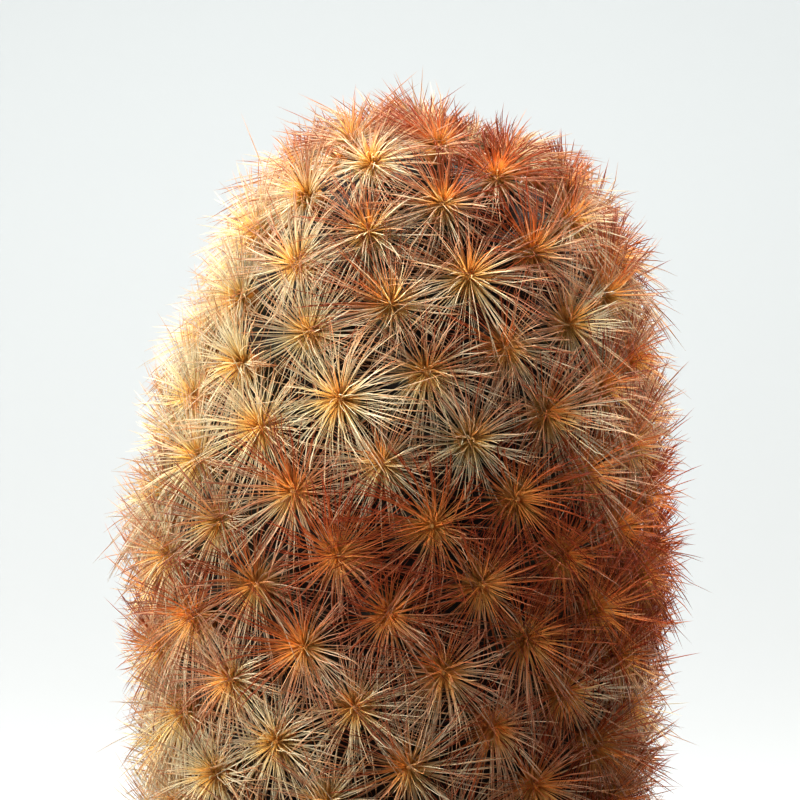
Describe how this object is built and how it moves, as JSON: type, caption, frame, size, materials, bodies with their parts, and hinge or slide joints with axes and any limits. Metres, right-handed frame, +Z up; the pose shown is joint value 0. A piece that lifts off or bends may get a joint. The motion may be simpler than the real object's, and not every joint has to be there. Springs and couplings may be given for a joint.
{
  "type": "potted mammillaria",
  "caption": "Columnar cactus covered in star-shaped clusters of fine rusty spines, standing in gritty soil in a plain round clay pot with a rim band and a drain hole.",
  "frame": {"origin": "on the pot's axis, at the underside of the pot", "axes": "+Z up along the pot's axis; the picture looks along +Y, with +X to the right, and the stem leans toward +X at its top"},
  "size_m": [0.074, 0.074, 0.1234],
  "materials": {
    "clay": "matte",
    "soil": "matte",
    "skin": "satin",
    "spines": "satin"
  },
  "bodies": {
    "root": {"pot": "clay", "soil": "soil", "stem": "skin", "spine_crown": "spines", "spine_row_01": "spines", "spine_row_02": "spines", "spine_row_03": "spines", "spine_row_04": "spines", "spine_row_05": "spines", "spine_row_06": "spines", "spine_row_07": "spines", "spine_row_08": "spines", "spine_row_09": "spines", "spine_row_10": "spines", "spine_row_11": "spines", "spine_row_12": "spines", "spine_row_13": "spines"}
  },
  "joints": []
}
